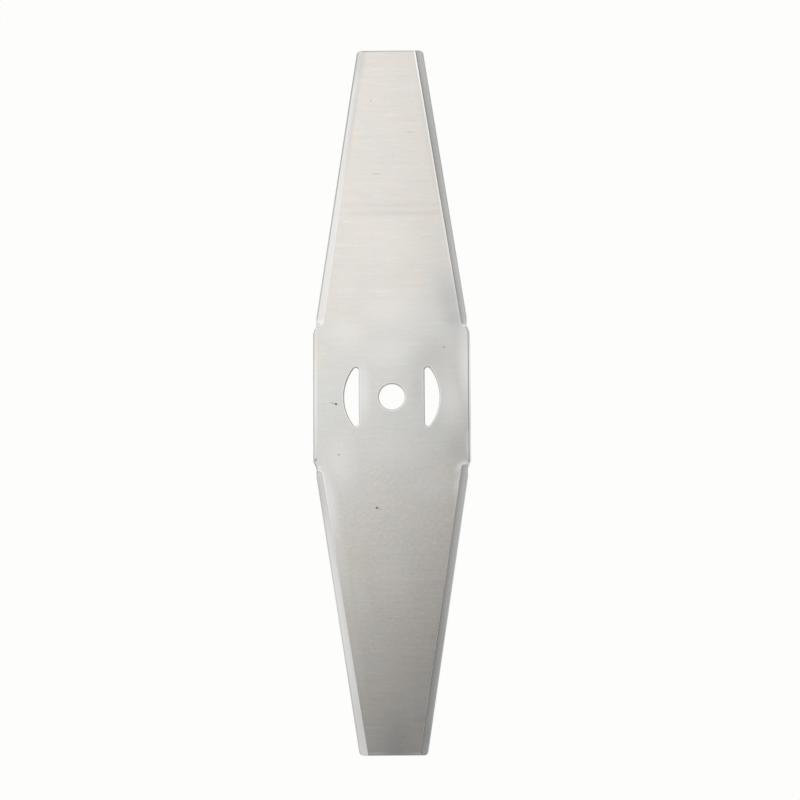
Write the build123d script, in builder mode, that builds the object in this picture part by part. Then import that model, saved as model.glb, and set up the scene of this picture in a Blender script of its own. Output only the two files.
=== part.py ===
from build123d import *
from typing import NamedTuple
import math
import os

os.makedirs("parts", exist_ok=True)

# All sizes are in millimetres. The plate lies on Z = 0, its length runs along Y and the hole's axis is Z.

# Plate and arms
LENGTH = 150.0
THICKNESS = 1.0
TIP_WIDTH = 14.15
TIP_CORNER_RADIUS = 0.9

# Hub: the wide middle, which steps in at four shoulders to the roots of the arms
HUB_WIDTH = 33.2
HUB_LENGTH = 27.4
SHOULDER_DEPTH = 0.65
SHOULDER_RUN = 1.45
SHOULDER_RADIUS = 1.0
# Parallel length of an arm between its shoulder and its taper
ROOT_LENGTH = 1.8

# Drive: a centre hole between two D-shaped slots whose outer arcs share the hole's centre
BORE_DIAMETER = 5.5
SLOT_FLAT_OFFSET = 6.95
SLOT_ARC_RADIUS = 10.1
SLOT_CORNER_RADIUS = 0.65

# Rounding that punching and tumbling leave on the upper face: along the outline, and round the hole and slots
OUTLINE_ROLL_RADIUS = 0.45
HOLE_ROLL_RADIUS = 0.2


class Bevel(NamedTuple):
    """One ground edge: its widths, and the conical wall that ends it beside the shoulder."""

    root_width: float
    tip_width: float
    # Distance from the shoulder to where the full width begins
    start: float
    # Radius of the end wall along the upper face, and its rise for each millimetre
    end_radius: float
    end_slope: float


# Bevels, ground on the upper face, keyed by (side in X, end in Y)
BEVELS = {
    (-1, 1): Bevel(1.8, 1.2, 1.45, 2.1, 0.5),
    (1, 1): Bevel(1.35, 1.65, 0.55, 1.3, 0.5),
    (-1, -1): Bevel(1.36, 1.76, 1.55, 0.95, 1.4),
    (1, -1): Bevel(1.68, 1.6, 0.2, 1.15, 1.4),
}
# Height of the blunt edge that is left under a bevel where it is widest
EDGE_LAND = 0.2
# Share of a bevel's width by which the grinding tool reaches past the plate
TOOL_OVERLAP = 0.25

# Derived positions
tip_x = TIP_WIDTH / 2
tip_y = LENGTH / 2
hub_x = HUB_WIDTH / 2
hub_y = HUB_LENGTH / 2
root_x = hub_x - SHOULDER_DEPTH
root_y = hub_y + SHOULDER_RUN
taper_y = root_y + ROOT_LENGTH
root_middle_y = (root_y + taper_y) / 2
arm_middle_y = (taper_y + tip_y) / 2
edge_lean = math.atan2(root_x - tip_x, tip_y - taper_y)
slot_half_height = math.sqrt(SLOT_ARC_RADIUS**2 - SLOT_FLAT_OFFSET**2)

# All bevels are ground at one pitch, set by the widest
widest_bevel = max(max(bevel.root_width, bevel.tip_width) for bevel in BEVELS.values())
bevel_pitch = (THICKNESS - EDGE_LAND) / widest_bevel

# Length of the cutting edge from the start of the taper to the tip
edge_length = (tip_y - taper_y) / math.cos(edge_lean)


def edge_point(along, inward, z):
    """Point at a distance along the cutting edge from the start of its taper, and inward from it."""
    x = root_x - along * math.sin(edge_lean) - inward * math.cos(edge_lean)
    y = taper_y + along * math.cos(edge_lean) - inward * math.sin(edge_lean)
    return (x, y, z)


def wedge(bevel, start, from_along, to_along):
    """Stretch of the solid above a bevel, from one distance along the edge to another."""
    corners = []
    for along in (from_along, to_along):
        gain = (bevel.tip_width - bevel.root_width) / (edge_length - start)
        width = bevel.root_width + gain * (along - start)
        inner = width * (1 + TOOL_OVERLAP)
        outer = -width * TOOL_OVERLAP
        top = THICKNESS + width * bevel_pitch * TOOL_OVERLAP
        bottom = top - (inner - outer) * bevel_pitch
        for place in ((inner, top), (outer, top), (outer, bottom)):
            corners.append(edge_point(along, *place))
    return ConvexPolyhedron(corners)


def grinding_tool(side, end, bevel):
    """Solid that grinding takes away along one edge, with the end of a cone beside the shoulder."""
    start = (root_y + bevel.start - taper_y) / math.cos(edge_lean)
    cone_inward = bevel.root_width - bevel.end_radius
    cone_tip = edge_point(start, cone_inward, THICKNESS - bevel.end_radius * bevel.end_slope)
    cone_radius = bevel.end_radius * (1 + TOOL_OVERLAP)
    with BuildPart() as tool:
        wedge(bevel, start, start - 2 * bevel.end_radius, start)
        with Locations(cone_tip):
            Cone(0, cone_radius, cone_radius * bevel.end_slope, align=Align.NONE, mode=Mode.INTERSECT)
        wedge(bevel, start, start, edge_length + THICKNESS)
        if side < 0:
            mirror(about=Plane.YZ, mode=Mode.REPLACE)
        if end < 0:
            mirror(about=Plane.XZ, mode=Mode.REPLACE)
    return tool.part


tools = [grinding_tool(*corner, bevel) for corner, bevel in BEVELS.items()]

quarter = [(hub_x, hub_y), (root_x, root_y), (root_x, taper_y), (tip_x, tip_y)]
outline = quarter + [(-x, y) for x, y in reversed(quarter)]
outline += [(-x, -y) for x, y in outline]

with BuildPart() as blade:
    # Flat plate: the hub and its two tapering arms
    with BuildSketch(Plane.XY) as plate:
        with BuildLine():
            Polyline(*outline, close=True)
        make_face()
        fillet(plate.vertices().filter_by(lambda v: abs(v.Y) > arm_middle_y), radius=TIP_CORNER_RADIUS)
        fillet(plate.vertices().filter_by(lambda v: abs(v.Y) < root_middle_y), radius=SHOULDER_RADIUS)
    extrude(amount=THICKNESS)

    # Centre hole
    with BuildSketch(Plane.XY):
        Circle(BORE_DIAMETER / 2)
    extrude(amount=THICKNESS, mode=Mode.SUBTRACT)

    # Two drive slots, each a segment of one circle
    with BuildSketch(Plane.XY) as slots:
        for side in (-1, 1):
            with BuildLine():
                low = (side * SLOT_FLAT_OFFSET, -slot_half_height)
                high = (side * SLOT_FLAT_OFFSET, slot_half_height)
                Line(low, high)
                ThreePointArc(high, (side * SLOT_ARC_RADIUS, 0), low)
            make_face()
        fillet(slots.vertices(), radius=SLOT_CORNER_RADIUS)
    extrude(amount=THICKNESS, mode=Mode.SUBTRACT)

    # Punched edges of the upper face are rolled over
    for cutout in blade.faces().sort_by(Axis.Z)[-1].inner_wires():
        fillet(cutout.edges(), radius=HOLE_ROLL_RADIUS)
    fillet(blade.faces().sort_by(Axis.Z)[-1].outer_wire().edges(), radius=OUTLINE_ROLL_RADIUS)

    # Each arm edge is ground to a bevel that runs out beside its shoulder
    add(tools, mode=Mode.SUBTRACT)

blade.part.label = "blade"
export_step(blade.part, "parts/blade.step")
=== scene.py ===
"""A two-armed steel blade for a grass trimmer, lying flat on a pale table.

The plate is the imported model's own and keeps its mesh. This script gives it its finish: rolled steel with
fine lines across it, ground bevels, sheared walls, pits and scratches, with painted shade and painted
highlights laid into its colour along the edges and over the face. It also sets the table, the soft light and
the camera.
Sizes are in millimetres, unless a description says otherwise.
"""

import logging
import math
from dataclasses import dataclass
from enum import Enum
from typing import Any, Callable, Optional, Union

import bmesh
import bpy
from mathutils import Matrix, Vector

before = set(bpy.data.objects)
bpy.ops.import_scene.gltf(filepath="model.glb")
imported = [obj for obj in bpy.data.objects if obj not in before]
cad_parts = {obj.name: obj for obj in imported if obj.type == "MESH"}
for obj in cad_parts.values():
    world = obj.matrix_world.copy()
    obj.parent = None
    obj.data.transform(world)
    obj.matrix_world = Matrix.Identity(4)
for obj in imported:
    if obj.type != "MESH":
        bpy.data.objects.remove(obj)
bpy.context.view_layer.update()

log = logging.getLogger("blade")

METRE = 1000.0
MICROMETRE = 0.001

Colour = tuple[float, float, float]
Triple = tuple[float, float, float]
Span = tuple[float, float]
Operand = Union["Signal", float]


class Signal:
    """A number that varies from point to point. Arithmetic on it adds Math nodes to its graph."""

    def __init__(self, graph: "Graph", socket: bpy.types.NodeSocket) -> None:
        """Keep the socket and the graph that it belongs to."""
        self.graph = graph
        self.socket = socket

    def __add__(self, other: Operand) -> "Signal":
        """Sum of two numbers."""
        return self.graph.math("ADD", self, other)

    def __radd__(self, other: Operand) -> "Signal":
        """Sum with the number on the left."""
        return self.graph.math("ADD", other, self)

    def __sub__(self, other: Operand) -> "Signal":
        """Difference of two numbers."""
        return self.graph.math("SUBTRACT", self, other)

    def __rsub__(self, other: Operand) -> "Signal":
        """Difference from the number on the left."""
        return self.graph.math("SUBTRACT", other, self)

    def __mul__(self, other: Operand) -> "Signal":
        """Product of two numbers."""
        return self.graph.math("MULTIPLY", self, other)

    def __rmul__(self, other: Operand) -> "Signal":
        """Product with the number on the left."""
        return self.graph.math("MULTIPLY", other, self)

    def __truediv__(self, other: Operand) -> "Signal":
        """Quotient of two numbers."""
        return self.graph.math("DIVIDE", self, other)

    def __neg__(self) -> "Signal":
        """The same size with the other sign."""
        return self.graph.math("MULTIPLY", self, -1.0)

    def __abs__(self) -> "Signal":
        """Size without its sign."""
        return self.graph.math("ABSOLUTE", self)


@dataclass(frozen=True)
class Pattern:
    """An uneven pattern: how many features it has on a millimetre along each axis, and its finer layers.

    Each finer layer fades against the last one. The texture swings about its middle, and the spread brings that
    to about -1 to 1.
    """

    per_mm: Triple
    layers: float = 2.0
    fade: float = 0.55
    middle: float = 0.5
    spread: float = 3.0


class Graph:
    """The nodes of one material, or of the world."""

    def __init__(self, tree: bpy.types.NodeTree) -> None:
        """Start from an empty node tree."""
        tree.nodes.clear()
        self.tree = tree

    def node(
        self,
        kind: str,
        settings: Optional[dict[str, Any]] = None,
        sockets: Optional[dict[Union[str, int], Any]] = None,
    ) -> bpy.types.Node:
        """Add a node, set it up and feed its sockets.

        Args:
            kind: Type of the node.
            settings: Properties of the node, which are set first.
            sockets: Values or links, by the name or number of the socket.

        Returns:
            The new node.
        """
        node = self.tree.nodes.new(kind)
        for name, value in (settings or {}).items():
            setattr(node, name, value)
        for key, value in (sockets or {}).items():
            source = value.socket if isinstance(value, Signal) else value
            if isinstance(source, bpy.types.NodeSocket):
                self.tree.links.new(source, node.inputs[key])
            else:
                node.inputs[key].default_value = source
        return node

    def math(self, operation: str, *values: Operand) -> Signal:
        """Add one Math node and return its result."""
        node = self.node("ShaderNodeMath", {"operation": operation}, dict(enumerate(values)))
        return Signal(self, node.outputs[0])

    def parts(self, vector: bpy.types.NodeSocket) -> tuple[Signal, Signal, Signal]:
        """Split a vector into its three numbers."""
        node = self.node("ShaderNodeSeparateXYZ", sockets={0: vector})
        return Signal(self, node.outputs[0]), Signal(self, node.outputs[1]), Signal(self, node.outputs[2])

    def join(self, x: Operand, y: Operand, z: Operand) -> bpy.types.NodeSocket:
        """Make a vector of three numbers."""
        return self.node("ShaderNodeCombineXYZ", sockets={0: x, 1: y, 2: z}).outputs[0]

    def step(self, value: Operand, start: float, end: float) -> Signal:
        """Rise smoothly from 0 at start to 1 at end; end may be the lower one."""
        node = self.node(
            "ShaderNodeMapRange",
            {"interpolation_type": "SMOOTHSTEP"},
            {"Value": value, "From Min": start, "From Max": end},
        )
        return Signal(self, node.outputs[0])

    def radius(self, a: Operand, b: Operand) -> Signal:
        """Length of the vector with these two legs."""
        return self.math("SQRT", a * a + b * b)

    def positive(self, value: Operand) -> Signal:
        """The number where it is above 0, and 0 elsewhere."""
        return self.math("MAXIMUM", value, 0.0)

    def noise(self, place: bpy.types.NodeSocket, pattern: Pattern) -> Signal:
        """Follow an uneven pattern.

        Args:
            place: Point in millimetres.
            pattern: Its features and layers.

        Returns:
            The pattern at the point, from about -1 to 1.
        """
        scaled = self.node("ShaderNodeVectorMath", {"operation": "MULTIPLY"}, {0: place, 1: pattern.per_mm})
        texture = self.node(
            "ShaderNodeTexNoise",
            sockets={
                "Vector": scaled.outputs[0],
                "Scale": 1.0,
                "Detail": pattern.layers,
                "Roughness": pattern.fade,
            },
        )
        return (Signal(self, texture.outputs[0]) - pattern.middle) * pattern.spread

    def tint(self, base: Any, other: Any, share: Signal) -> bpy.types.NodeSocket:
        """Lay a colour over another.

        Args:
            base: Colour, or the socket of one.
            other: Colour that is laid over it.
            share: How much of it shows, from 0 to 1.

        Returns:
            The socket of the mixed colour.
        """
        opaque = [(*c, 1.0) if isinstance(c, tuple) else c for c in (base, other)]
        node = self.node(
            "ShaderNodeMix", {"data_type": "RGBA"}, {0: share, 6: opaque[0], 7: opaque[1]}
        )
        return node.outputs[2]


class MarkKind(Enum):
    """Marks on the steel: pits and scratches that use left, and patches of painted shade, painted bluish shade,
    painted sheen and painted glints on the bevels.
    """

    PIT = "pit"
    SCRATCH = "scratch"
    # Painted shade: darker patches on the face, plain and bluish
    SHADE_PATCH = "shade_patch"
    BLUE_SHADE = "blue_shade"
    # Painted sheen on the face, and painted glints on the bevels
    SHEEN = "sheen"
    BEVEL_GLINT = "bevel_glint"

    @property
    def core(self) -> float:
        """Share of a mark's size that is fully marked: pits and scratches are crisp, the others soft."""
        return 0.45 if self in (MarkKind.PIT, MarkKind.SCRATCH) else 0.0


@dataclass(frozen=True)
class Mark:
    """One mark on the upper side: an oval round a middle point, with its long side at an angle."""

    kind: MarkKind
    x: float
    y: float
    half_length: float
    half_width: float
    degrees: float = 0.0
    strength: float = 1.0

    def mask(self, graph: Graph, x: Signal, y: Signal) -> Signal:
        """Share of this mark at a point.

        Args:
            graph: Nodes of the finish.
            x: Place across the blade.
            y: Place along the blade.

        Returns:
            The mark's strength in its middle, falling to 0 at its rim.
        """
        c, s = math.cos(math.radians(self.degrees)), math.sin(math.radians(self.degrees))
        right, ahead = x - self.x, y - self.y
        along = (right * c + ahead * s) / self.half_length
        across = (ahead * c - right * s) / self.half_width
        return graph.step(graph.radius(along, across), 1.0, self.kind.core) * self.strength


@dataclass(frozen=True)
class Run:
    """A number that changes evenly along an edge, from its shoulder to its tip."""

    shoulder: float = 0.0
    tip: float = 0.0


@dataclass(frozen=True)
class Bevel:
    """One ground edge: its corner of the blade, its sizes, and the painted lines of highlight and shade along
    it.

    The full width begins at the start, a distance from the shoulder, and the end radius rounds the bevel off
    there. The lip is the painted line at the outer edge: painted shade above 0 and painted highlight below. The
    crease is the painted line on the bevel's inner side: painted shade below 0 and painted highlight above. The
    last run gives the painted highlight line on the face beside it.
    """

    side: int
    end: int
    width: Run
    start: float
    end_radius: float
    lip: Run = Run()
    crease: Run = Run()
    sheen: Run = Run()


@dataclass(frozen=True)
class StampedPlate:
    """The sizes of the plate that its finish follows, and the marks on its face."""

    tip_half_width: float = 7.075
    tip_end: float = 75.0
    root_half_width: float = 15.95
    root_end: float = 15.15
    taper_start: float = 16.95
    hole_radius: float = 2.75
    slot_flat: float = 6.95
    slot_radius: float = 10.1
    slot_corner_radius: float = 0.65
    # Each bevel's lip, crease and last run set the strength of its painted shade and painted highlight lines
    bevels: tuple[Bevel, ...] = (
        Bevel(-1, 1, Run(1.8, 1.2), 1.45, 2.1, Run(0.5, 0.8), Run(0.6, -0.3)),
        Bevel(1, 1, Run(1.35, 1.65), 0.55, 1.3, Run(0.25, 0.25), Run(-0.3, -1.4), Run(0.3, 1.25)),
        Bevel(-1, -1, Run(1.36, 1.76), 1.55, 0.95, Run(0.3, 0.3), Run(-0.3, 0.1), Run(1.2, -1.8)),
        Bevel(1, -1, Run(1.68, 1.6), 0.2, 1.15, Run(-0.2, -1.0), Run(0.0, -0.9), Run(0.5, -2.0)),
    )
    marks: tuple[Mark, ...] = (
        Mark(MarkKind.PIT, -11.79, -1.48, 0.34, 0.24, -19.0),
        Mark(MarkKind.PIT, -11.19, -12.30, 0.26, 0.24, 0.0, 0.45),
        Mark(MarkKind.PIT, -3.23, -23.54, 0.34, 0.26, -15.0, 0.85),
        Mark(MarkKind.PIT, 11.11, 10.48, 0.26, 0.24, 0.0, 0.4),
        Mark(MarkKind.PIT, -4.12, 63.88, 0.3, 0.2, 20.0, 0.2),
        Mark(MarkKind.PIT, 1.95, -70.36, 0.26, 0.22, 0.0, 0.3),
        Mark(MarkKind.PIT, 2.36, -71.18, 0.28, 0.24, 30.0, 0.4),
        Mark(MarkKind.PIT, -16.1, -13.3, 0.5, 0.36, 60.0, 0.35),
        Mark(MarkKind.SCRATCH, -12.2, -1.47, 1.35, 0.16, -19.0),
        Mark(MarkKind.SCRATCH, -2.6, -23.75, 0.7, 0.2, -27.0, 0.7),
        Mark(MarkKind.SCRATCH, -2.9, 47.92, 1.6, 0.16, 0.0, 0.5),
        Mark(MarkKind.SCRATCH, 4.3, 57.0, 1.3, 0.16, 0.0, 0.5),
        # Painted shade: darker patches of the face, some of them bluish
        Mark(MarkKind.SHADE_PATCH, -12.82, 10.47, 1.8, 1.3, 0.0, 0.14),
        Mark(MarkKind.SHADE_PATCH, 0.3, 41.1, 18.0, 0.9, 0.0, 0.2),
        Mark(MarkKind.SHADE_PATCH, 1.1, 39.4, 19.0, 1.0, 0.0, 0.28),
        Mark(MarkKind.BLUE_SHADE, 12.2, 20.5, 10.0, 4.4, 99.0, 0.65),
        Mark(MarkKind.BLUE_SHADE, 12.9, 16.9, 3.6, 4.0, 0.0, 0.75),
        Mark(MarkKind.SHADE_PATCH, 7.6, 8.4, 9.0, 5.4, 43.0, 0.4),
        Mark(MarkKind.SHADE_PATCH, 5.3, 2.4, 8.0, 2.4, 90.0, 0.35),
        Mark(MarkKind.BLUE_SHADE, 13.6, -10.8, 3.6, 4.4, 0.0, 0.42),
        Mark(MarkKind.SHADE_PATCH, 1.0, -73.8, 6.2, 13.0, 0.0, 1.55),
        Mark(MarkKind.SHADE_PATCH, 5.5, -65.0, 16.0, 3.6, 84.0, 0.6),
        Mark(MarkKind.SHADE_PATCH, 7.2, -70.5, 6.5, 2.4, 81.3, 0.75),
        Mark(MarkKind.SHADE_PATCH, 8.4, -58.5, 26.0, 2.2, 81.3, 0.5),
        Mark(MarkKind.SHADE_PATCH, -7.2, -69.5, 13.0, 2.0, 98.7, 0.5),
        Mark(MarkKind.SHADE_PATCH, -15.0, -20.4, 9.0, 1.3, 98.7, 0.65),
        Mark(MarkKind.SHADE_PATCH, -7.2, 72.5, 8.0, 2.6, 81.3, 0.85),
        Mark(MarkKind.SHADE_PATCH, -8.2, 60.0, 22.0, 1.0, 81.3, 0.5),
        Mark(MarkKind.SHADE_PATCH, 8.9, 56.0, 28.0, 2.2, 98.7, 0.4),
        # Painted sheen: lighter patches and lines on the face
        Mark(MarkKind.SHEEN, 16.2, 6.0, 14.0, 3.2, 90.0, 0.95),
        Mark(MarkKind.SHEEN, 16.4, -10.5, 5.0, 1.2, 90.0, 1.0),
        Mark(MarkKind.SHEEN, 12.6, -1.0, 8.0, 5.0, 90.0, 0.5),
        Mark(MarkKind.SHEEN, -16.4, 0.0, 20.0, 1.0, 90.0, 0.75),
        Mark(MarkKind.SHEEN, -6.1, 1.0, 9.0, 2.2, 90.0, 0.5),
        Mark(MarkKind.SHEEN, -13.2, -23.5, 14.0, 2.9, 98.7, 0.7),
        Mark(MarkKind.SHEEN, -11.0, -14.0, 9.0, 5.5, 90.0, 0.35),
        Mark(MarkKind.SHEEN, 0.0, 9.5, 9.0, 6.0, 0.0, 0.24),
        Mark(MarkKind.SHEEN, -10.9, -34.0, 20.0, 2.2, 98.7, 0.3),
        Mark(MarkKind.SHEEN, 1.0, -11.5, 11.0, 5.0, 0.0, 0.15),
        Mark(MarkKind.SHEEN, 9.5, -19.0, 8.0, 5.0, 0.0, 0.2),
        Mark(MarkKind.SHEEN, -6.9, -42.0, 9.0, 3.4, 98.7, 0.18),
        Mark(MarkKind.SHEEN, 0.0, 19.5, 11.0, 9.0, 0.0, 0.23),
        Mark(MarkKind.SHEEN, -1.0, 32.5, 11.0, 12.0, 0.0, 0.14),
        Mark(MarkKind.SHEEN, -9.0, 24.0, 9.0, 4.5, 81.3, 0.1),
        Mark(MarkKind.SHEEN, -9.5, 13.5, 7.0, 5.5, 0.0, 0.24),
        Mark(MarkKind.SHEEN, 0.5, -38.0, 10.0, 6.0, 90.0, 0.2),
        Mark(MarkKind.SHEEN, -7.6, -56.0, 16.0, 2.2, 98.7, 0.22),
        Mark(MarkKind.SHEEN, -15.5, -14.9, 1.3, 0.9, 0.0, 0.9),
        Mark(MarkKind.SHEEN, 14.5, -14.9, 2.8, 1.4, 45.0, 1.0),
        Mark(MarkKind.SHEEN, 13.6, -18.5, 5.0, 1.4, 81.3, 0.6),
        # Painted glints on the bevels and at their ends by the shoulders
        Mark(MarkKind.BEVEL_GLINT, -11.7, -42.7, 21.0, 3.0, 98.7, 0.3),
        Mark(MarkKind.BEVEL_GLINT, -15.5, 15.4, 2.2, 1.6, 45.0, 0.9),
        Mark(MarkKind.BEVEL_GLINT, 15.4, 15.2, 1.6, 1.0, 0.0, 1.0),
    )

    @property
    def lean(self) -> float:
        """Angle between a cutting edge and the length of the blade."""
        return math.atan2(self.root_half_width - self.tip_half_width, self.tip_end - self.taper_start)

    @property
    def edge_length(self) -> float:
        """Length of a cutting edge from the start of its taper to the tip."""
        return (self.tip_end - self.taper_start) / math.cos(self.lean)

    @property
    def slot_corner(self) -> tuple[float, float]:
        """Middle of the rounding at the upper right corner of the right slot."""
        across = self.slot_flat + self.slot_corner_radius
        return across, math.sqrt((self.slot_radius - self.slot_corner_radius) ** 2 - across**2)

    def start_along(self, bevel: Bevel) -> float:
        """Distance along the edge at which a bevel has its full width."""
        return (self.root_end + bevel.start - self.taper_start) / math.cos(self.lean)

    def widening(self, bevel: Bevel) -> float:
        """Width that a bevel gains on each millimetre of its edge."""
        return (bevel.width.tip - bevel.width.shoulder) / (self.edge_length - self.start_along(bevel))


class PlateMap:
    """Where a point lies on the plate, as signals in millimetres."""

    # Upright part of the surface's direction on the upper side, and on a wall
    UPPER: Span = (0.3, 0.6)
    WALL: Span = (0.6, 0.25)
    # Fade across the rim of a bevel
    RIM: Span = (0.02, -0.02)
    # Shift of the grinding pattern by the side and the end of its bevel, so that no two bevels are alike
    SIDE_SHIFT = 40.0
    END_SHIFT = 90.0

    def __init__(self, graph: Graph, plate: StampedPlate) -> None:
        """Lay out the signals that the finish is built on.

        Args:
            graph: Nodes of the finish.
            plate: Sizes of the plate.
        """
        self.graph = graph
        coordinates = graph.node("ShaderNodeTexCoord")
        scaled = graph.node(
            "ShaderNodeVectorMath",
            {"operation": "SCALE"},
            {0: coordinates.outputs["Object"], "Scale": METRE},
        )
        self.place = scaled.outputs[0]
        self.x, self.y, self.z = graph.parts(self.place)
        self.upright = graph.parts(coordinates.outputs["Normal"])[2]
        self.upper = graph.step(self.upright, *self.UPPER)
        self.wall = graph.step(abs(self.upright), *self.WALL)

        lean = plate.lean
        out = abs(self.x) - plate.root_half_width
        ahead = abs(self.y) - plate.taper_start
        self.along = ahead * math.cos(lean) - out * math.sin(lean)
        self.inward = out * -math.cos(lean) - ahead * math.sin(lean)

        start = self.by_corner(plate, plate.start_along)
        radius = self.by_corner(plate, lambda bevel: bevel.end_radius)
        middle = self.by_corner(plate, lambda bevel: bevel.width.shoulder - bevel.end_radius)
        past = self.along - start
        reach = graph.radius(graph.positive(-past), graph.positive(self.inward - middle))
        gained = self.by_corner(plate, plate.widening) * graph.positive(past)
        self.beside_bevel = reach - radius - gained
        self.bevel = graph.step(self.beside_bevel, *self.RIM) * self.upper
        self.off_middle = (self.inward + self.beside_bevel) / 2.0
        shift = self.by_corner(plate, lambda bevel: self.SIDE_SHIFT * bevel.side + self.END_SHIFT * bevel.end)
        self.edge_place = graph.join(self.along, self.inward, shift)

        off_axis, wide, high = graph.radius(self.x, self.y), abs(self.x), abs(self.y)
        corner_x, corner_y = plate.slot_corner
        sharp = graph.math("MAXIMUM", plate.slot_flat - wide, off_axis - plate.slot_radius)
        rounded = graph.radius(wide - corner_x, high - corner_y) - plate.slot_corner_radius
        limit = graph.math("MAXIMUM", wide * (corner_y / corner_x), corner_y)
        slot = sharp + (rounded - sharp) * graph.math("GREATER_THAN", high, limit)
        self.beside_cutout = graph.math("MINIMUM", off_axis - plate.hole_radius, slot)

        # Strengths of each bevel's painted lines: painted shade on one sign and painted highlight on the other
        # at the lip and the crease, and the painted highlight line on the face beside it
        self.lip = self.by_run(plate, lambda bevel: bevel.lip)
        self.crease = self.by_run(plate, lambda bevel: bevel.crease)
        self.sheen = self.by_run(plate, lambda bevel: bevel.sheen)

    def by_corner(self, plate: StampedPlate, number: Callable[[Bevel], float]) -> Signal:
        """Pick one number for the corner of the blade that the point lies in.

        Args:
            plate: Sizes of the plate.
            number: Gives the number of each bevel.

        Returns:
            The number of the point's own corner.
        """
        right = self.graph.math("GREATER_THAN", self.x, 0.0)
        ahead = self.graph.math("GREATER_THAN", self.y, 0.0)
        total: Operand = 0.0
        for bevel in plate.bevels:
            across = right if bevel.side > 0 else 1.0 - right
            along = ahead if bevel.end > 0 else 1.0 - ahead
            total = across * along * number(bevel) + total
        return total

    def by_run(self, plate: StampedPlate, run: Callable[[Bevel], Run]) -> Signal:
        """Follow a number along the edge of the corner that the point lies in.

        Args:
            plate: Sizes of the plate.
            run: Gives the run of each bevel.

        Returns:
            The number at the point's own place along its edge.
        """
        shoulder = self.by_corner(plate, lambda bevel: run(bevel).shoulder)
        tip = self.by_corner(plate, lambda bevel: run(bevel).tip)
        return shoulder + (tip - shoulder) * (self.along / plate.edge_length)


@dataclass(frozen=True)
class FinishZones:
    """Where each part of the finish starts and where it is full.

    Places and distances are in millimetres. The rolled edges, their rims among them, go by the upright part of
    the surface's direction, and the tones of a pattern by its swing. A ridge gives its near and far side.
    """

    worn: Span = (5.0, -25.0)
    tip: Span = (-35.0, -65.0)
    # Painted shade on the rim: on the left side, at the lower tip's end and round the hole and slots
    left: Span = (9.0, -9.0)
    end: Span = (2.0, 1.0)
    cutout: Span = (0.4, 0.25)
    cool_band: Span = (26.0, 8.0)
    cool_slope: float = 0.5
    cool_shift: float = 1.0
    cooled: Span = (-0.6, 1.6)
    light_lines: Span = (0.0, 1.4)
    dark_lines: Span = (0.0, -1.4)
    dark_grinding: Span = (0.1, -1.3)
    # Where the painted highlights and the painted shade lines along the edges lie
    rolled: Span = (0.995, 0.93)
    rim: Span = (0.92, 0.75)
    end_rim: Span = (0.985, 0.92)
    burr: Span = (0.22, 0.55)
    end_line: Span = (0.45, 0.95)
    lip: Span = (0.42, 0.14)
    crease: Span = (-0.04, -0.35)
    sheen_line: Span = (0.04, 0.45)
    torn: Span = (0.55, 0.42)
    torn_swing: float = 0.08


@dataclass(frozen=True)
class FinishShares:
    """How much each part of the finish counts: first in the brushing and the cool patches, then as a tint."""

    lines: float = 1.1
    worn_lines: float = 0.5
    streaks: float = 0.3
    grain: float = 0.45
    worn_grain: float = 0.95
    tip_grain: float = 0.6
    mottle: float = 0.8
    light_lines: float = 0.36
    dark_lines: float = 0.24
    dark_grinding: float = 0.2
    # Painted highlights on the rolled edges, the burrs and the lower tip's end line
    rolled: float = 0.3
    burr: float = 0.45
    end_line: float = 0.5
    # Painted shade on the rims and in the shade patches
    left_rim: float = 0.75
    cutout_rim: float = 0.8
    end_rim: float = 0.9
    shade_patch: float = 0.6
    wall: float = 0.6
    torn: float = 0.6
    scratch: float = 0.4


@dataclass(frozen=True)
class Roughness:
    """Roughness of the face, the bevels and the walls, and what patterns and marks add to it."""

    face: float = 0.22
    bevel: float = 0.25
    wall: float = 0.42
    patches: float = 0.012
    lines: float = 0.015
    grinding: float = 0.02
    torn: float = 0.12
    shade_patch: float = 0.04
    pit: float = 0.3


@dataclass(frozen=True)
class Relief:
    """Heights and depths in micrometres, too small for the plate's own shape, that bend its reflections.

    A crown is the fall on the first millimetre from the middle, and it grows with the square of the distance.
    """

    lines: float = 0.2
    streaks: float = 0.4
    grinding: float = 0.5
    shearing: float = 6.0
    sheen_line: float = 3.0
    scratch_depth: float = 4.0
    pit_depth: float = 9.0
    crown_across: float = 0.75
    crown_along: float = 0.2
    bevel_crown: float = 36.0


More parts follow.
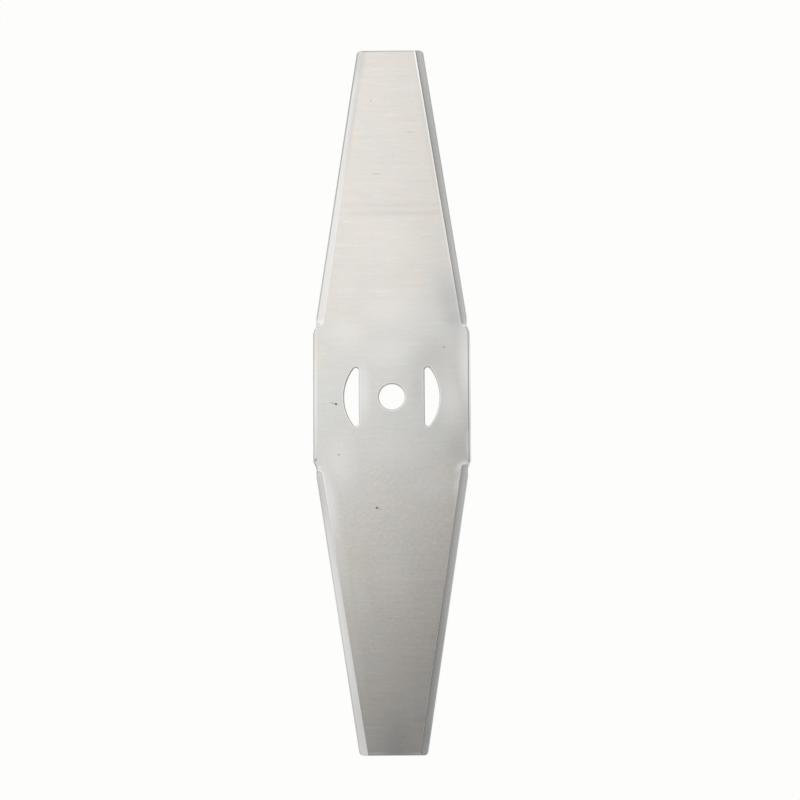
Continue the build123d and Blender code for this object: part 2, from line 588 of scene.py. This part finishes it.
class FinishMap:
    """The patterns, the marks and the painted highlight and shade lines along the edges of the steel at a
    point, as signals.
    """

    def __init__(self, graph: Graph, plate: StampedPlate, steel: "GroundSteel") -> None:
        """Lay out the signals that colour, roughness and relief share.

        Args:
            graph: Nodes of the finish.
            plate: Sizes and marks of the plate.
            steel: The finish, with its patterns, zones and shares.
        """
        self.graph = graph
        self.at = at = PlateMap(graph, plate)
        self.face = at.upper * (1.0 - at.bevel)
        zones, shares = steel.zones, steel.shares

        self.lines = graph.noise(at.place, steel.lines)
        self.streaks = graph.noise(at.place, steel.streaks)
        self.patches = graph.noise(at.place, steel.patches)
        self.grinding = graph.noise(at.edge_place, steel.grinding)
        self.shearing = graph.noise(at.place, steel.shearing)
        grain = graph.noise(at.place, steel.grain)
        mottle = graph.noise(at.place, steel.mottle)
        worn = graph.step(at.y, *zones.worn)
        tip = graph.step(at.y, *zones.tip)
        lined = (self.lines + self.streaks * shares.streaks) * (shares.lines - worn * shares.worn_lines)
        grained = grain * (shares.grain + worn * shares.worn_grain - tip * shares.tip_grain)
        self.brushing = lined + grained
        cool_band = graph.step(abs(at.y - at.x * zones.cool_slope + zones.cool_shift), *zones.cool_band)
        self.cooled = graph.step((self.patches + mottle) * shares.mottle + cool_band, *zones.cooled)

        near_end = at.y + plate.tip_end
        # Painted shade on the rim of the rolled edge: on the left side, round the hole and slots, and at the
        # lower tip's end
        left = graph.step(at.x, *zones.left) * shares.left_rim
        cutout = graph.step(at.beside_cutout, *zones.cutout) * shares.cutout_rim
        side_rim = graph.step(at.upright, *zones.rim) * graph.math("MAXIMUM", left, cutout)
        end_rim = graph.step(at.upright, *zones.end_rim) * graph.step(near_end, *zones.end) * shares.end_rim
        self.rim = graph.math("MAXIMUM", side_rim, end_rim) * self.face
        # Painted highlights on the rolled edges, beside the hole and slots and along the lower tip's end
        self.rolled = graph.step(at.upright, *zones.rolled) * self.face
        self.burr = self.ridge(at.beside_cutout, *zones.burr) * self.face
        self.end_line = self.ridge(near_end, *zones.end_line) * self.face
        # Painted lines on the bevels, shade on one sign of their run and highlight on the other, and the
        # painted highlight on the face beside them
        self.lip = graph.step(at.inward, *zones.lip) * at.bevel * at.lip
        self.crease = self.ridge(at.beside_bevel, *zones.crease) * at.bevel * at.crease
        self.sheen_line = self.ridge(at.beside_bevel, *zones.sheen_line) * self.face * graph.positive(at.sheen)
        self.torn = at.wall * graph.step(at.z + self.shearing * zones.torn_swing, *zones.torn)

        self.marks = {kind: self.marked(plate, kind) for kind in MarkKind}

    def marked(self, plate: StampedPlate, kind: MarkKind) -> Signal:
        """Share of all the marks of one kind on the upper face."""
        total: Operand = 0.0
        for mark in plate.marks:
            if mark.kind is kind:
                total = self.graph.math("MAXIMUM", mark.mask(self.graph, self.at.x, self.at.y), total)
        return total * self.at.upper

    def ridge(self, distance: Signal, near: float, far: float) -> Signal:
        """Fine line beside an edge: full just off it, and gone at its far side."""
        return self.graph.step(distance, far, near) * self.graph.step(distance, -near, near)


@dataclass(frozen=True)
class GroundSteel:
    """Bright rolled steel with lines across it, ground bevels and sheared walls, with painted shade and painted
    highlights in its colour.
    """

    colour: Colour = (0.70, 0.662, 0.608)
    cool: Colour = (0.672, 0.670, 0.652)
    ground: Colour = (0.745, 0.738, 0.722)
    # Lighter steel of the brushing lines, also the colour of painted highlights and painted sheen
    rubbed_and_sheen: Colour = (0.87, 0.865, 0.847)
    # Painted highlight along the edges
    bright: Colour = (0.96, 0.95, 0.93)
    # Darker steel of the brushing and grinding lines and the walls, also the colour of painted shade
    stain_and_shade: Colour = (0.457, 0.454, 0.44)
    # Painted bluish shade
    blue_grey_shade: Colour = (0.43, 0.457, 0.466)
    # Dark steel of torn walls and scratches, also the colour of painted shade on the rims and lips
    dark_and_shade: Colour = (0.22, 0.21, 0.20)
    pitted: Colour = (0.10, 0.092, 0.082)
    lines: Pattern = Pattern((0.27, 2.4, 0.5), 3.0)
    streaks: Pattern = Pattern((0.03, 0.7, 0.2))
    grain: Pattern = Pattern((1.8, 2.8, 0.5))
    patches: Pattern = Pattern((0.16, 0.12, 0.2), 3.0)
    mottle: Pattern = Pattern((0.5, 0.42, 0.2))
    grinding: Pattern = Pattern((0.22, 3.2, 1.0), 3.0)
    shearing: Pattern = Pattern((5.0, 5.0, 0.5), 3.0)
    zones: FinishZones = FinishZones()
    shares: FinishShares = FinishShares()
    roughness: Roughness = Roughness()
    relief: Relief = Relief()

    def material(self, plate: StampedPlate) -> bpy.types.Material:
        """Build the finish.

        Args:
            plate: Sizes and marks that it follows.

        Returns:
            The material for the plate.
        """
        material = bpy.data.materials.new("ground_steel")
        material.use_nodes = True
        graph = Graph(material.node_tree)
        finish = FinishMap(graph, plate, self)
        bump = graph.node(
            "ShaderNodeBump",
            sockets={"Height": self.height(finish), "Distance": MICROMETRE / METRE, "Strength": 1.0},
        )
        shader = graph.node(
            "ShaderNodeBsdfPrincipled",
            sockets={
                "Base Color": self.tinted(finish),
                "Metallic": 1.0,
                "Roughness": self.dulled(finish),
                "Normal": bump.outputs[0],
            },
        )
        graph.node("ShaderNodeOutputMaterial", sockets={"Surface": shader.outputs[0]})
        return material

    def tinted(self, finish: FinishMap) -> bpy.types.NodeSocket:
        """Lay the tints over the bare steel, one after another, painted shade and painted highlights among
        them.

        Args:
            finish: Patterns, marks and edge lines of the steel.

        Returns:
            The socket of the finished colour.
        """
        graph, at, face, marks = finish.graph, finish.at, finish.face, finish.marks
        zones, shares = self.zones, self.shares
        light_lines = graph.step(finish.brushing, *zones.light_lines) * shares.light_lines * face
        dark_lines = graph.step(finish.brushing, *zones.dark_lines) * shares.dark_lines * face
        dark_grinding = graph.step(finish.grinding, *zones.dark_grinding) * shares.dark_grinding * at.bevel
        # Painted highlights along the rolled edges, the burrs and the lower tip's end
        edge_highlights = finish.rolled * shares.rolled + finish.burr * shares.burr + finish.end_line * shares.end_line
        layers = (
            (self.cool, finish.cooled),
            (self.ground, at.bevel),
            (self.rubbed_and_sheen, light_lines),
            (self.stain_and_shade, dark_lines),
            (self.stain_and_shade, dark_grinding),
            # Painted highlights on the edges, creases, lips and beside the bevels; painted shade on creases and
            # lips; painted sheen, shade and bluish shade patches; painted shade on the rims
            (self.rubbed_and_sheen, edge_highlights),
            (self.rubbed_and_sheen, graph.positive(finish.crease)),
            (self.stain_and_shade, graph.positive(-finish.crease)),
            (self.bright, finish.sheen_line),
            (self.dark_and_shade, graph.positive(finish.lip)),
            (self.bright, graph.positive(-finish.lip)),
            (self.rubbed_and_sheen, marks[MarkKind.SHEEN] * face + marks[MarkKind.BEVEL_GLINT] * at.bevel),
            (self.stain_and_shade, marks[MarkKind.SHADE_PATCH] * shares.shade_patch),
            (self.blue_grey_shade, marks[MarkKind.BLUE_SHADE] * shares.shade_patch),
            (self.dark_and_shade, finish.rim),
            (self.stain_and_shade, at.wall * shares.wall),
            (self.dark_and_shade, finish.torn * shares.torn),
            (self.dark_and_shade, marks[MarkKind.SCRATCH] * shares.scratch),
            (self.pitted, marks[MarkKind.PIT]),
        )
        colour: Any = self.colour
        for tint, share in layers:
            colour = graph.tint(colour, tint, share)
        return colour

    def dulled(self, finish: FinishMap) -> Signal:
        """Roughness of the finish at a point.

        Args:
            finish: Patterns, marks and edge lines of the steel.

        Returns:
            The roughness, from 0 to 1.
        """
        at, rough = finish.at, self.roughness
        return (
            rough.face
            + at.bevel * (rough.bevel - rough.face)
            + at.wall * (rough.wall - rough.face)
            + finish.patches * rough.patches
            + finish.lines * rough.lines * finish.face
            + finish.grinding * rough.grinding * at.bevel
            + finish.torn * rough.torn
            + finish.marks[MarkKind.SHADE_PATCH] * rough.shade_patch
            + finish.marks[MarkKind.PIT] * rough.pit
        )

    def height(self, finish: FinishMap) -> Signal:
        """Height of the finish at a point.

        Args:
            finish: Patterns, marks and edge lines of the steel.

        Returns:
            The height in micrometres.
        """
        at, relief = finish.at, self.relief
        crown = at.x * at.x * relief.crown_across + at.y * at.y * relief.crown_along
        return (
            finish.lines * relief.lines * finish.face
            + finish.streaks * relief.streaks * finish.face
            + finish.grinding * relief.grinding * at.bevel
            + finish.shearing * relief.shearing * at.wall
            + finish.sheen_line * relief.sheen_line
            - at.off_middle * at.off_middle * relief.bevel_crown * at.bevel
            - crown * at.upper
            - finish.marks[MarkKind.SCRATCH] * relief.scratch_depth
            - finish.marks[MarkKind.PIT] * relief.pit_depth
        )


class Blade:
    """The blade itself: one plate, whose mesh stays as it was packed."""

    def __init__(self, node: bpy.types.Object, plate: StampedPlate, steel: GroundSteel) -> None:
        """Keep the plate's mesh, its sizes and its finish."""
        self.node = node
        self.plate = plate
        self.steel = steel

    def dress(self) -> None:
        """Put the finish on every material slot of the plate."""
        material = self.steel.material(self.plate)
        for slot in self.node.material_slots:
            slot.material = material
        log.info("dressed %s with %s", self.node.name, material.name)


@dataclass(frozen=True)
class Table:
    """The pale table that the blade lies on."""

    half_size: float = 3000.0
    squares: int = 8
    below: float = 0.05
    colour: Colour = (0.93, 0.93, 0.92)
    white: Colour = (1.0, 1.0, 0.99)
    white_share: float = 0.95

    def build(self) -> None:
        """Lay the table top under the blade."""
        mesh = bpy.data.meshes.new("table")
        shape = bmesh.new()
        bmesh.ops.create_grid(
            shape, x_segments=self.squares, y_segments=self.squares, size=self.half_size / METRE
        )
        shape.to_mesh(mesh)
        shape.free()
        top = bpy.data.objects.new("table", mesh)
        top.location.z = -self.below / METRE
        bpy.context.scene.collection.objects.link(top)
        mesh.materials.append(self.material())
        log.info("laid %s", top.name)

    def material(self) -> bpy.types.Material:
        """Build the pale surface, which shows white and keeps a soft shadow.

        Returns:
            The material for the table top.
        """
        material = bpy.data.materials.new("pale_table")
        material.use_nodes = True
        graph = Graph(material.node_tree)
        rays = graph.node("ShaderNodeLightPath").outputs
        seen: Operand = 0.0
        for ray in ("Is Camera Ray", "Is Glossy Ray", "Is Transmission Ray"):
            seen = graph.math("MAXIMUM", Signal(graph, rays[ray]), seen)
        matt = graph.node("ShaderNodeBsdfDiffuse", sockets={"Color": (*self.colour, 1.0)})
        white = graph.node("ShaderNodeEmission", sockets={"Color": (*self.white, 1.0), "Strength": 1.0})
        surface = graph.node(
            "ShaderNodeMixShader",
            sockets={0: seen * self.white_share, 1: matt.outputs[0], 2: white.outputs[0]},
        )
        graph.node("ShaderNodeOutputMaterial", sockets={"Surface": surface.outputs[0]})
        return material


@dataclass(frozen=True)
class DimOval:
    """A soft oval of the dome that gives less light.

    It is placed by the sideways parts of its direction, and turned by an angle in radians.
    """

    loss: float
    x: float
    y: float
    half_length: float
    half_width: float
    turn: float

    def pass_share(self, graph: Graph, x: Signal, y: Signal) -> Signal:
        """Share of the light that is left in a direction.

        Args:
            graph: Nodes of the world.
            x: Sideways part of the direction, to the right.
            y: Sideways part of the direction, away from the camera.

        Returns:
            1 outside the oval, falling smoothly to its middle.
        """
        c, s = math.cos(self.turn), math.sin(self.turn)
        along = ((x - self.x) * c + (y - self.y) * s) / self.half_length
        across = ((y - self.y) * c - (x - self.x) * s) / self.half_width
        return 1.0 - graph.step(graph.radius(along, across), 1.0, 0.0) * self.loss


@dataclass(frozen=True)
class StudioDome:
    """Soft white dome with an even ring at the horizon, and with dim ovals.

    The ovals lie over the camera, to the right, on the near side, and two at the far side. The ring goes by the
    upward part of a direction: where it starts, and where it is full.
    """

    level: float = 1.22
    ring: Span = (0.35, 0.1)
    ovals: tuple[DimOval, ...] = (
        DimOval(0.9, 0.106, -0.06, 1.6, 0.277, 0.624),
        DimOval(0.9, 0.571, -0.053, 0.451, 1.331, 0.466),
        DimOval(0.5, -0.153, -0.471, 1.594, 0.616, -0.611),
        DimOval(0.4, 0.1, 1.0, 1.4, 0.72, 0.0),
        DimOval(0.35, -0.75, 0.88, 0.65, 0.52, 0.0),
    )

    def build(self) -> None:
        """Make the world that lights the scene."""
        world = bpy.data.worlds.new("studio_dome")
        bpy.context.scene.world = world
        world.use_nodes = True
        graph = Graph(world.node_tree)
        x, y, z = graph.parts(graph.node("ShaderNodeTexCoord").outputs["Generated"])
        dome: Operand = self.level
        for oval in self.ovals:
            dome = oval.pass_share(graph, x, y) * dome
        ring = graph.step(z, *self.ring)
        light = dome * (1.0 - ring) + ring
        background = graph.node("ShaderNodeBackground", sockets={"Color": light, "Strength": 1.0})
        graph.node("ShaderNodeOutputWorld", sockets={"Surface": background.outputs[0]})
        log.info("hung %s", world.name)


@dataclass(frozen=True)
class OverheadCamera:
    """The camera, almost straight above the blade. Its pitch, yaw and roll are in degrees."""

    distance: float = 500.0
    nearest: float = 10.0
    focal_pixels: float = 2366.5
    image_pixels: float = 800.0
    sensor: float = 36.0
    aim: Triple = (1.72, -0.68, 0.5)
    pitch: float = 6.9
    yaw: float = 1.1
    roll: float = 0.33

    def build(self) -> None:
        """Make the camera and put it in place."""
        pitch, yaw, roll = (math.radians(angle) for angle in (self.pitch, self.yaw, self.roll))
        forward = Vector(
            (-math.sin(yaw), math.sin(pitch) * math.cos(yaw), -math.cos(pitch) * math.cos(yaw))
        ).normalized()
        right = forward.cross(Vector((math.sin(roll), math.cos(roll), 0.0))).normalized()
        turn = Matrix((right, right.cross(forward), -forward)).transposed()
        data = bpy.data.cameras.new("camera")
        data.sensor_width = self.sensor
        data.lens = self.sensor * self.focal_pixels / self.image_pixels
        data.clip_start = self.nearest / METRE
        camera = bpy.data.objects.new("camera", data)
        place = Vector(self.aim) - forward * self.distance
        camera.matrix_world = Matrix.Translation(place / METRE) @ turn.to_4x4()
        bpy.context.scene.collection.objects.link(camera)
        bpy.context.scene.camera = camera
        log.info("placed %s", camera.name)


def main() -> None:
    """Dress the blade and set the scene round it."""
    logging.basicConfig(level=logging.INFO)
    bpy.context.scene.view_settings.view_transform = "Standard"
    OverheadCamera().build()
    StudioDome().build()
    Table().build()
    Blade(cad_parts["blade"], StampedPlate(), GroundSteel()).dress()


if __name__ == "__main__":
    main()
